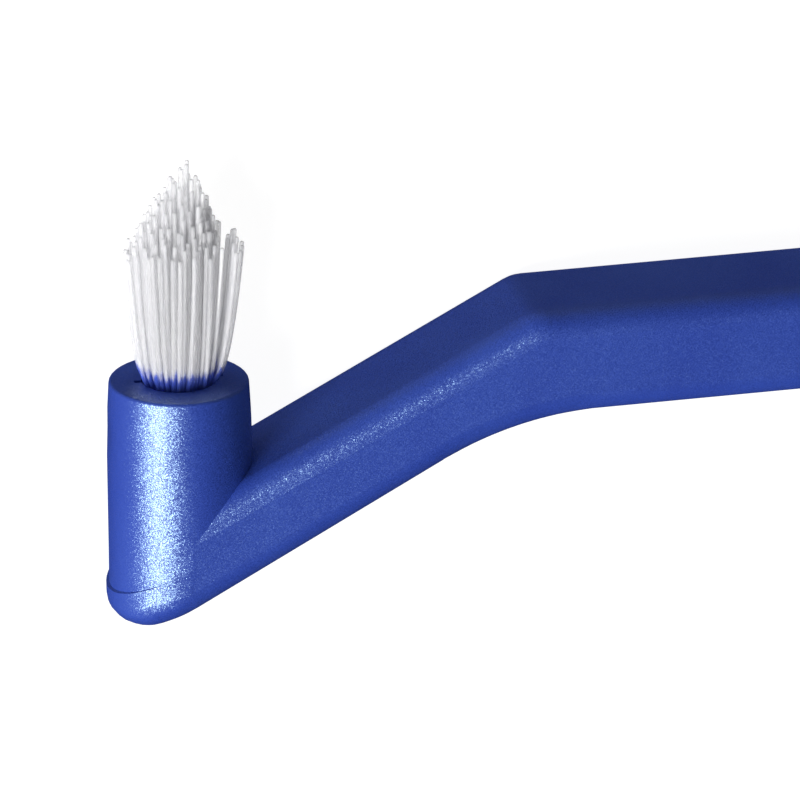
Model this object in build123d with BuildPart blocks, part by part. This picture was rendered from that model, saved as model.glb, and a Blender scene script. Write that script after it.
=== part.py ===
from build123d import *
from math import cos, hypot, radians, sqrt, tan
import os

# Single-tuft toothbrush, lying on its side as it does on a table.
# X runs along the handle from the head to the tail, Y runs up the tuft and Z is the width of the brush.
# The origin is the centre of the tuft hole's mouth, on the head's top face.

# Head: an upright round post whose axis is Y
head_diameter = 6.3
head_draft = 0.12  # by which the post's radius narrows towards its top face, in a slight barrel
barrel_depth = 3.5  # the post reaches its full diameter this far below the top face
head_rim_radius = 0.15
heel_setback = 1.58  # from the head's far side, along its flat lower end, to the arm's underside
heel_radius = 2.4  # side view: between that flat end and the arm's underside

# Arm: rises from the post's lower half to the handle
arm_drop = 5.35  # depth below the head's top face at which the arm's upper face meets the head's axis
arm_thickness = 4.17  # measured on the head's axis, square to the upper face
arm_upper_angle = 28.2
arm_lower_angle = 29.0
edge_radius = 1.1  # along every long edge of the arm and the handle
edge_limit = 0.35  # the largest share of the head's radius that the arm's round end can take
post_inset = 0.2  # by which the post's foot stays inside the arm's underside

# Bend between the arm and the handle
bend_reach = 15.2  # from the head's axis to the crease in the upper face
crease_radius = 1.8
underside_radius = 15.0

# Handle, from the bend to the tail; its two sides stay flat and as far apart as the head is wide
handle_angle = 1.0
neck_thickness = 4.8
grip_start = 48.0
grip_run_in = 24.0  # length over which the neck swells to the grip
grip_thickness = 8.6
swell_radius = 60.0
tail_end = 163.0
tail_thickness = 6.4
tail_flat = 0.8  # left between the rounded corners at the very end of the narrower view

# Thumb rest: shallow cross grooves moulded into the grip's upper and lower faces
groove_count = 7
groove_pitch = 2.8
groove_radius = 1.0
groove_depth = 0.4
thumb_rest_start = 6.0  # from the end of the swell to the first groove

# Two-part mould: the half below the parting surface sits slightly towards the head's far side
mould_mismatch = 0.13

# Tuft hole and anchor plate
hole_diameter = 3.3
fold_clearance = 0.15  # between the hole's bottom and the lowest fold
anchor_bite = 0.3  # each end of the plate cuts this far into the hole's wall
anchor_height = 1.4
anchor_thickness = 0.25
anchor_depth = 1.4  # from the hole's mouth to the plate's upper edge

# Nylon filaments, each folded in half under the anchor plate
filament_diameter = 0.2
filament_gap = 0.012
mouth_bend_radius = 3.0
tuft_height = 9.85
shoulder_height = 5.5  # where the outermost filaments end
length_spread = 0.81  # along X, from an outermost filament's place in the hole to its place at the shoulder
width_spread = 0.11  # along Z, the same

head_radius = head_diameter / 2
hole_radius = hole_diameter / 2
filament_radius = filament_diameter / 2
anchor_length = hole_diameter + 2 * anchor_bite
anchor_foot = anchor_depth + anchor_height
hole_depth = anchor_foot + hole_radius + fold_clearance
far = 2 * tail_end


def arm_upper(x):
    """Height of the arm's upper face."""
    return -arm_drop + tan(radians(arm_upper_angle)) * x


def arm_lower(x):
    """Height of the arm's lower face."""
    lower_drop = arm_drop + arm_thickness / cos(radians(arm_upper_angle))
    return -lower_drop + tan(radians(arm_lower_angle)) * x


def handle_middle(x):
    """Height of the handle's centre line."""
    crease_y = arm_upper(bend_reach)
    return crease_y - neck_thickness / 2 + tan(radians(handle_angle)) * (x - bend_reach)


heel_corner = heel_setback - head_radius
head_height = -arm_lower(heel_corner)

# Where the lower faces of the arm and the handle would cross if the bend were sharp
lower_gap = (handle_middle(0) - neck_thickness / 2) - arm_lower(0)
lower_bend = lower_gap / (tan(radians(arm_lower_angle)) - tan(radians(handle_angle)))

grip_full = grip_start + grip_run_in
tail_radius = (min(tail_thickness, head_diameter) - tail_flat) / 2
rounding = min(edge_radius, edge_limit * head_radius)

# Handle moulding without its head post: side view and plan view intersected, then rounded
with BuildPart() as arm_and_grip:
    with BuildSketch(Plane.XY):
        with BuildLine():
            FilletPolyline(
                (-head_radius, arm_upper(-head_radius)),
                (-head_radius, -head_height),
                (heel_corner, -head_height),
                (lower_bend, arm_lower(lower_bend)),
                (grip_start, handle_middle(grip_start) - neck_thickness / 2),
                (grip_full, handle_middle(grip_full) - grip_thickness / 2),
                (tail_end, handle_middle(tail_end) - tail_thickness / 2),
                (tail_end, handle_middle(tail_end) + tail_thickness / 2),
                (grip_full, handle_middle(grip_full) + grip_thickness / 2),
                (grip_start, handle_middle(grip_start) + neck_thickness / 2),
                (bend_reach, arm_upper(bend_reach)),
                radius=[0, 0, heel_radius, underside_radius, swell_radius, swell_radius]
                + [tail_radius, tail_radius, swell_radius, swell_radius, crease_radius],
                close=True,
            )
        make_face()
    extrude(amount=head_diameter, both=True)
    with BuildSketch(Plane.XZ):
        with BuildLine():
            outline = FilletPolyline(
                (0, head_radius),
                (tail_end, head_radius),
                (tail_end, -head_radius),
                (0, -head_radius),
                radius=tail_radius,
            )
            ThreePointArc(outline @ 1, (-head_radius, 0), outline @ 0)
        make_face()
    extrude(amount=far, both=True, mode=Mode.INTERSECT)
    long_edges = edges().filter_by(Axis.Z, reverse=True).filter_by(Axis.Y, reverse=True)
    fillet(long_edges.filter_by(lambda edge: edge.length > edge_radius), rounding)

# Head post, which stands in the end of the arm
head_top_radius = head_radius - head_draft
post_foot = arm_lower(head_radius) + post_inset
with BuildPart() as whole_moulding:
    add(arm_and_grip.part)
    with BuildSketch(Plane.XY):
        with BuildLine():
            barrel = TangentArc((head_radius, -barrel_depth), (head_top_radius, 0), tangent=(0, 1))
            Polyline(barrel @ 1, (0, 0), (0, post_foot), (head_radius, post_foot), barrel @ 0)
        make_face()
        fillet(vertices().group_by(Axis.Y)[-1].sort_by(Axis.X)[-1], head_rim_radius)
    revolve(axis=Axis.Y)
    # thumb rest on the grip's upper and lower faces
    taper = (grip_thickness - tail_thickness) / 2 / (tail_end - grip_full)
    for side in (1, -1):
        for groove in range(groove_count):
            x = grip_full + thumb_rest_start + groove * groove_pitch
            half_thickness = grip_thickness / 2 - taper * (x - grip_full)
            y = handle_middle(x) + side * (half_thickness - groove_depth + groove_radius)
            with Locations((x, y, 0)):
                Cylinder(groove_radius, 2 * head_diameter, mode=Mode.SUBTRACT)

# The surface on which the two mould halves part, halfway through the arm and the handle
parting_drop = arm_drop + arm_thickness / cos(radians(arm_upper_angle)) / 2
parting_slope = tan(radians((arm_upper_angle + arm_lower_angle) / 2))
parting_bend = (handle_middle(0) + parting_drop) / (parting_slope - tan(radians(handle_angle)))
with BuildPart() as below_parting:
    with BuildSketch(Plane.XY):
        with BuildLine():
            Polyline(
                (-head_diameter, -parting_drop - parting_slope * head_diameter),
                (parting_bend, handle_middle(parting_bend)),
                (far, handle_middle(far)),
                (far, -far),
                (-head_diameter, -far),
                close=True,
            )
        make_face()
    extrude(amount=head_diameter, both=True)

with BuildPart() as lower_half:
    add(whole_moulding.part)
    add(below_parting.part, mode=Mode.INTERSECT)

# Handle: one moulding of head post, arm, neck, grip and tail, with its blind tuft hole
mouth = Plane((0, 0, 0), x_dir=(1, 0, 0), z_dir=(0, 1, 0))
with BuildPart() as handle:
    add(whole_moulding.part)
    add(below_parting.part, mode=Mode.SUBTRACT)
    with Locations((-mould_mismatch, 0, 0)):
        add(lower_half.part)
    with Locations(mouth):
        Hole(hole_radius, hole_depth)
    # the two slits that the anchor plate cuts down the hole's wall as it is driven in
    with BuildSketch(mouth):
        Rectangle(anchor_length, anchor_thickness)
    extrude(amount=-anchor_foot, mode=Mode.SUBTRACT)

# Anchor: a flat metal plate pressed across the hole, edge first
with BuildPart() as tuft_anchor:
    with BuildSketch(mouth.offset(-anchor_depth)):
        Rectangle(anchor_length, anchor_thickness)
    extrude(amount=-anchor_height)


# The filaments' legs fill the hole on each side of the plate in a close-packed grid
leg_pitch = filament_diameter + filament_gap
row_pitch = leg_pitch * sqrt(3) / 2
leg_reach = hole_radius - filament_radius - filament_gap
leg_nearest = hypot(row_pitch / 2, filament_radius + filament_gap)


def leg_places():
    """Places of the legs on one side of the anchor plate."""
    first = anchor_thickness / 2 + filament_gap + filament_radius
    row_count = int(leg_reach / row_pitch + 0.5)
    for row in range(-row_count, row_count):
        x = (row + 0.5) * row_pitch
        z = first + (row % 2) * leg_pitch / 2
        while hypot(x, z) <= leg_reach:
            yield x, z
            z += leg_pitch


def leg_tip(x, z):
    """The end of the leg at (x, z): above the mouth the plate's gap closes, and the tuft is cut to a cone."""
    closed_z = z - (anchor_thickness / 2) * z / abs(z)
    share = (hypot(x, closed_z) - leg_nearest) / (leg_reach - leg_nearest)
    height = tuft_height - share * (tuft_height - shoulder_height)
    rise = height / shoulder_height
    return (
        x * (1 + rise * length_spread / leg_reach),
        height,
        closed_z * (1 + rise * width_spread / leg_reach),
    )


def folded_filament(x, z):
    """One filament: from tip to tip, down the hole and round under the anchor plate."""
    with BuildPart() as filament:
        with BuildLine() as route:
            FilletPolyline(leg_tip(x, z), (x, 0, z), (x, -anchor_foot, z), radius=mouth_bend_radius)
            ThreePointArc((x, -anchor_foot, z), (x, -anchor_foot - z, 0), (x, -anchor_foot, -z))
            FilletPolyline((x, -anchor_foot, -z), (x, 0, -z), leg_tip(x, -z), radius=mouth_bend_radius)
        with BuildSketch(Plane(route.line @ 0, z_dir=route.line % 0)):
            Circle(filament_radius)
        sweep()
    return filament.part


# Filaments of the tuft
filaments = [folded_filament(x, z) for x, z in leg_places()]
with BuildPart() as tuft_filaments:
    add(filaments)

handle.part.label = "handle"
tuft_anchor.part.label = "tuft_anchor"
tuft_filaments.part.label = "tuft_filaments"

os.makedirs("parts", exist_ok=True)
export_step(handle.part, "parts/handle.step")
export_step(tuft_anchor.part, "parts/tuft_anchor.step")
export_step(tuft_filaments.part, "parts/tuft_filaments.step")
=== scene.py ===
import random
from math import cos, hypot, pi, sin, sqrt

import bpy
from mathutils import Matrix, Vector


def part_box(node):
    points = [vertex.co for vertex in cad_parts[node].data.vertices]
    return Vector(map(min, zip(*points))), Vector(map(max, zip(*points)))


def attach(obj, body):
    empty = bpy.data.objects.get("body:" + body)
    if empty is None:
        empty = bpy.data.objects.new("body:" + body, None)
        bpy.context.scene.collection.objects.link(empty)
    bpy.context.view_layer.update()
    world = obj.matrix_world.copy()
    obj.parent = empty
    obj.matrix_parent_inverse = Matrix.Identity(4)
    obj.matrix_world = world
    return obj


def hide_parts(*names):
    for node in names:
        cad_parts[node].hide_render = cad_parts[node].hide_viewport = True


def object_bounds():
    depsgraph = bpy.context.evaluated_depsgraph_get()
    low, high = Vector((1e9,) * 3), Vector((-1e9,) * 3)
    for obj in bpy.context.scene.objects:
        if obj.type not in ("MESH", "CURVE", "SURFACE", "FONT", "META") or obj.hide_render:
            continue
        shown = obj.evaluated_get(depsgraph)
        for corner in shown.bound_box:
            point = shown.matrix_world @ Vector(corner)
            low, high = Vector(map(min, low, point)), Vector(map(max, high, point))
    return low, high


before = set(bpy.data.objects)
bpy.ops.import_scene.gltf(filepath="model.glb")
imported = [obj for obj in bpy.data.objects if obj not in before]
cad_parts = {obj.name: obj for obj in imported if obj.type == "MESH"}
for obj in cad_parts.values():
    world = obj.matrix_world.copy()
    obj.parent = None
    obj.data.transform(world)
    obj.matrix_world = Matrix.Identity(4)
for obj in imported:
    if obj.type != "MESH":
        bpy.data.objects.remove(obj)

cad_box = [list(corner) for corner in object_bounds()]

# The view: close up on the head through a long lens, a little above the head's top face.
# The lens is long enough that parallel edges of the brush stay nearly parallel.
view_centre = Vector((0.00975, -0.0018, 0.0))
view_width = 0.0348
view_distance = 0.3
towards_camera = Vector((-0.188, 0.375, 0.908)).normalized()
view_right = Vector((0.076, 0.927, -0.367)).cross(towards_camera).normalized()
view_up = towards_camera.cross(view_right)

camera_data = bpy.data.cameras.new("camera")
camera_data.lens = camera_data.sensor_width * view_distance / view_width
camera_data.clip_start = 0.01
camera = bpy.data.objects.new("camera", camera_data)
bpy.context.scene.collection.objects.link(camera)
camera.matrix_world = Matrix((view_right, view_up, towards_camera)).transposed().to_4x4()
camera.location = view_centre + towards_camera * view_distance
bpy.context.scene.camera = camera

# The handle: head post, arm, neck, grip and tail in one polypropylene moulding. It is coloured through with
# blue and pearl pigment, whose mica flakes catch the light one by one. The mould leaves it satin smooth.


class Wire:
    """An output of a shader node, which takes part in sums."""

    def __init__(self, tree, socket=None):
        self.tree = tree
        self.socket = socket

    def node(self, kind, settings=None, inputs=None, output=0):
        """Adds a node, sets it up, fills its sockets with values or links, and gives the output asked for."""
        node = self.tree.nodes.new("ShaderNode" + kind)
        for name, value in (settings or {}).items():
            setattr(node, name, value)
        for name, value in (inputs or {}).items():
            if isinstance(value, Wire):
                self.tree.links.new(value.socket, node.inputs[name])
            else:
                node.inputs[name].default_value = value
        return Wire(self.tree, node.outputs[output]) if node.outputs else None

    def maths(self, operation, first, second):
        return self.node("Math", {"operation": operation}, {0: first, 1: second})

    def __add__(self, other):
        return self.maths("ADD", self, other)

    __radd__ = __add__

    def __mul__(self, other):
        return self.maths("MULTIPLY", self, other)

    __rmul__ = __mul__

    def __sub__(self, other):
        return self.maths("SUBTRACT", self, other)

    def __rsub__(self, other):
        return self.maths("SUBTRACT", other, self)


def new_material(name):
    """An empty material, and a wire to build its nodes from."""
    material = bpy.data.materials.new(name)
    material.use_nodes = True
    material.node_tree.nodes.clear()
    return material, Wire(material.node_tree)


# Sizes are in metres. The flow marks are clouds in the pigment, drawn out along the tuft's direction.
flake_size = 0.000028
flake_tilt = 0.42
flow_scale = (250, 90, 250)
satin_roughness = 0.3
deep_blue = (0.014, 0.034, 0.27, 1)
pale_blue = (0.026, 0.062, 0.35, 1)

pearl_plastic, wire = new_material("pearl_blue_plastic")
place = wire.node("TexCoord", output="Object")
flake_colour = wire.node("TexVoronoi", {}, {"Vector": place, "Scale": 1 / flake_size}, "Color")
flake_lean = wire.node("VectorMath", {"operation": "SUBTRACT"}, {0: flake_colour, 1: (0.5, 0.5, 0.5)})
flake_lean = wire.node("VectorMath", {"operation": "SCALE"}, {0: flake_lean, "Scale": flake_tilt})
surface = wire.node("NewGeometry", output="Normal")
flake_facing = wire.node("VectorMath", {"operation": "ADD"}, {0: surface, 1: flake_lean})
flake_facing = wire.node("VectorMath", {"operation": "NORMALIZE"}, {0: flake_facing})
flow = wire.node("Mapping", {}, {"Vector": place, "Scale": flow_scale})
flow = wire.node("TexNoise", {}, {"Vector": flow, "Scale": 1.0, "Detail": 3})
tint = wire.node("Mix", {"data_type": "RGBA"}, {0: flow, 6: deep_blue, 7: pale_blue}, 2)
shader = wire.node("BsdfPrincipled", {}, {
    "Base Color": tint,
    "Roughness": satin_roughness + 0.08 * flow,
    "Specular Tint": (0.55, 0.82, 1.0, 1),
    "Normal": flake_facing,
    "Coat Weight": 0.35,
    "Coat Roughness": 0.4,
    "IOR": 2.1,
})
wire.node("OutputMaterial", {}, {"Surface": shader})
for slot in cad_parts["handle"].material_slots:
    slot.material = pearl_plastic

# The tuft: clear nylon filaments, each folded in half under the anchor plate, with its two ends rounded.
# The bundle is trimmed to a cone and then spreads. It fans out along the brush more than across it, and a
# clump on the handle's side leans away from the rest.
filament_radius = 0.0001
filament_gap = 0.000012
side_count = 10
ring_count = 40
blank_length = 0.024
tuft_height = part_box("tuft_filaments")[1][1]
anchor_low, anchor_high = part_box("tuft_anchor")
fold_height = anchor_low[1]

# The blank's shares that become one leg above the mouth and its stretch down the hole; the rest is the fold
leg_share = 0.42
hole_share = 0.04
fold_start = leg_share + hole_share
fold_end = 1 - fold_start

# The outermost and the innermost place of a filament's leg, measured from the hole's axis
leg_reach = 0.001538
leg_nearest = 0.000145

# The lay of the legs above the mouth, at the shoulder, where the outermost ones end
shoulder = 0.0055
spread_bend = 0.44
length_spread = 0.735
width_spread = 0.1
gap_closing = 0.0001
tuft_lean = 0.00024
side_draw = 0.00037
side_full = 0.001
clump_lean = 0.00042
clump_start = 0.00108
clump_end = 0.00118
layer_lean = 0.00009

bpy.ops.object.select_all(action="DESELECT")
bpy.ops.mesh.primitive_cylinder_add(
    vertices=side_count, radius=filament_radius, depth=blank_length, location=(0, 0, 0)
)
blank = bpy.context.object
for edge in blank.data.edges:
    start, end = (blank.data.vertices[i].co for i in edge.vertices)
    edge.select = abs(start.z - end.z) > blank_length / 2
for face in blank.data.polygons:
    face.select = False
bpy.ops.object.mode_set(mode="EDIT")
bpy.ops.mesh.select_mode(type="EDGE")
bpy.ops.mesh.subdivide(number_cuts=ring_count)
bpy.ops.mesh.select_all(action="DESELECT")
bpy.ops.object.mode_set(mode="OBJECT")
for edge in blank.data.edges:
    edge.select = all(abs(blank.data.vertices[i].co.z) > 0.499 * blank_length for i in edge.vertices)
bpy.ops.object.mode_set(mode="EDIT")
bpy.ops.mesh.bevel(offset=0.7 * filament_radius, segments=3)
bpy.ops.mesh.select_all(action="SELECT")
bpy.ops.mesh.normals_make_consistent(inside=False)
bpy.ops.object.mode_set(mode="OBJECT")
bpy.ops.object.shade_smooth()

chance = random.Random(11)


def smooth_step(low, high, value):
    """Rises from 0 to 1 as value goes from low to high."""
    share = min(1, max(0, (value - low) / (high - low)))
    return share * share * (3 - 2 * share)


def leg(x, z):
    """One leg of a filament: its height, and the function that gives its place at each height."""
    closed_z = abs(z) - anchor_high[2]
    share = (hypot(x, closed_z) - leg_nearest) / (leg_reach - leg_nearest)
    height = tuft_height - (tuft_height - shoulder) * share + chance.gauss(0, 0.00005)
    drawn_in = side_draw * smooth_step(0, side_full, x)
    lean = tuft_lean - drawn_in + clump_lean * smooth_step(clump_start, clump_end, x)
    layer = round(abs(z) / (2 * filament_radius))
    stray_x = layer_lean * (layer % 3 - 1) + chance.gauss(0, 0.00003)
    stray_z = chance.gauss(0, 0.00005)

    def place(y):
        spread = max(0, y / shoulder) ** spread_bend
        return Vector((
            x + (length_spread * x + lean + stray_x) * spread,
            y,
            z + (width_spread * z - gap_closing * z / abs(z) + stray_z) * spread,
        ))

    return height, place


def filament_route(x, z):
    """The route of a folded filament, from tip to tip, as a function of a share from 0 to 1."""
    first_height, first = leg(x, z)
    last_height, last = leg(x, -z)

    def route(share):
        if share < leg_share:
            return first(first_height * (1 - share / leg_share))
        if share < fold_start:
            return first(fold_height * (share - leg_share) / hole_share)
        if share < fold_end:
            turn = pi * (share - fold_start) / (fold_end - fold_start)
            return Vector((x, fold_height - z * sin(turn), z * cos(turn)))
        if share < 1 - leg_share:
            return last(fold_height * (1 - leg_share - share) / hole_share)
        return last(last_height * (share - 1 + leg_share) / leg_share)

    return route


def bent_filament(x, z):
    """A copy of the straight blank, laid along its own route."""
    route = filament_route(x, z)
    filament = blank.copy()
    filament.data = blank.data.copy()
    bpy.context.scene.collection.objects.link(filament)
    for vertex in filament.data.vertices:
        share = min(0.99, max(0.01, vertex.co.z / blank_length + 0.5))
        beyond = vertex.co.z - (share - 0.5) * blank_length
        forward = (route(share + 0.005) - route(share - 0.005)).normalized()
        across = Vector((1, 0, 0))
        across = (across - across.dot(forward) * forward).normalized()
        over = forward.cross(across)
        vertex.co = route(share) + forward * beyond + across * vertex.co.x + over * vertex.co.y
    return filament


filaments = []
pitch = 2 * filament_radius + filament_gap
row_pitch = pitch * sqrt(3) / 2
first_place = anchor_high[2] + filament_gap + filament_radius
row_count = int(leg_reach / row_pitch + 0.5)
for row in range(-row_count, row_count):
    x = (row + 0.5) * row_pitch
    z = first_place + (row % 2) * pitch / 2
    while hypot(x, z) <= leg_reach:
        filaments.append(bent_filament(x, z))
        z += pitch

bpy.data.objects.remove(blank)
bpy.ops.object.select_all(action="DESELECT")
for filament in filaments:
    filament.select_set(True)
bpy.context.view_layer.objects.active = filaments[0]
bpy.ops.object.join()
tuft = bpy.context.object
tuft.name = "tuft"

clear_white = (0.93, 0.93, 0.94, 1)
clear_grey = (0.72, 0.72, 0.75, 1)
# Painted reflection: the filaments' lowest part, just above the mouth, is painted blue with a ragged edge. It
# stands in for the blue head seen through the clear nylon.
painted_reflection_blue = (0.1, 0.17, 0.75, 1)
painted_reflection_height = 0.0006
painted_reflection_blur = 0.0002
streak_reach = 0.0012
streak_scale = (7000, 300, 7000)
line_scale = (16000, 250, 16000)

clear_nylon, wire = new_material("clear_nylon")
place = wire.node("TexCoord", output="Object")
streak = wire.node("Mapping", {}, {"Vector": place, "Scale": streak_scale})
streak = wire.node("TexNoise", {}, {"Vector": streak, "Scale": 1.0, "Detail": 1})
height = wire.node("SeparateXYZ", {}, {"Vector": place}, "Y")
# Painted reflection of the blue head: below this height the filaments' colour turns blue, with an edge made
# ragged by the streak noise
painted_reflection_mask = (painted_reflection_height - height + streak_reach * (streak - 0.5)) * (1 / painted_reflection_blur) + 0.5
painted_reflection_mask = wire.node("Clamp", {}, {"Value": painted_reflection_mask})
line = wire.node("Mapping", {}, {"Vector": place, "Scale": line_scale})
line = wire.node("TexNoise", {}, {"Vector": line, "Scale": 1.0, "Detail": 2})
line = wire.node("Clamp", {}, {"Value": (line - 0.35) * 3.5})
tint = wire.node("Mix", {"data_type": "RGBA"}, {0: line, 6: clear_grey, 7: clear_white}, 2)
tint = wire.node("Mix", {"data_type": "RGBA"}, {0: painted_reflection_mask, 6: tint, 7: painted_reflection_blue}, 2)
shader = wire.node("BsdfPrincipled", {}, {
    "Base Color": tint,
    "Roughness": 0.15,
    "IOR": 1.53,
    "Transmission Weight": 0.4,
    "Alpha": 0.45,
})
wire.node("OutputMaterial", {}, {"Surface": shader})
tuft.data.materials.clear()
tuft.data.materials.append(clear_nylon)
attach(tuft, "root")
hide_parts("tuft_filaments")

# The anchor: a flat plate stamped from nickel silver strip and driven across the tuft hole, edge first.
# Rolling leaves fine lines along the strip.
rolling_scale = (400, 20000, 20000)
anchor_metal, wire = new_material("anchor_metal")
place = wire.node("TexCoord", output="Object")
grain = wire.node("Mapping", {}, {"Vector": place, "Scale": rolling_scale})
grain = wire.node("TexNoise", {}, {"Vector": grain, "Scale": 1.0, "Detail": 2})
shader = wire.node("BsdfPrincipled", {}, {
    "Base Color": (0.62, 0.56, 0.42, 1),
    "Metallic": 1.0,
    "Roughness": 0.25 + 0.2 * grain,
})
wire.node("OutputMaterial", {}, {"Surface": shader})
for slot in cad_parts["tuft_anchor"].material_slots:
    slot.material = anchor_metal

# The floor: a matt sheet of white opal acrylic, lit from below, that the brush lies on.
# It is left out of reflections, so that the brush's upper faces keep their own dark colour.
floor_level = cad_box[0][2]
floor_glow = 0.95
bpy.ops.mesh.primitive_plane_add(size=4, location=(0.08, 0, floor_level))
floor = bpy.context.object
floor.name = "floor"
floor.visible_glossy = False
opal_sheet, wire = new_material("opal_sheet")
shader = wire.node("BsdfPrincipled", {}, {
    "Base Color": (0.16, 0.16, 0.16, 1),
    "Roughness": 1.0,
    "Specular IOR Level": 0.0,
    "Emission Color": (1, 1, 1, 1),
    "Emission Strength": floor_glow,
})
wire.node("OutputMaterial", {}, {"Surface": shader})
floor.data.materials.append(opal_sheet)

# The light: one soft lamp to the left of the head, low on the side of its foot, in a dim room that
# reflections don't show. Light passes many filaments in a row, so it goes on for more steps than usual.
room_light = 0.15
world = bpy.data.worlds.new("room")
world.use_nodes = True
world.node_tree.nodes["Background"].inputs["Color"].default_value = (1, 1, 1, 1)
world.node_tree.nodes["Background"].inputs["Strength"].default_value = room_light
world.cycles_visibility.glossy = False
bpy.context.scene.world = world
bpy.context.scene.cycles.max_bounces = 24
bpy.context.scene.cycles.transmission_bounces = 24
bpy.context.scene.cycles.transparent_max_bounces = 48
bpy.context.scene.view_settings.view_transform = "Standard"

lamp_distance = 0.6
lamp_from = Vector((-0.68, -0.2, 0.7)).normalized()
lamp_data = bpy.data.lights.new("key", "AREA")
lamp_data.shape = "RECTANGLE"
lamp_data.size = 0.22
lamp_data.size_y = 0.3
lamp_data.energy = 6.4
lamp = bpy.data.objects.new("key", lamp_data)
bpy.context.scene.collection.objects.link(lamp)
lamp.location = view_centre + lamp_from * lamp_distance
lamp.rotation_euler = lamp_from.to_track_quat("Z", "Y").to_euler()
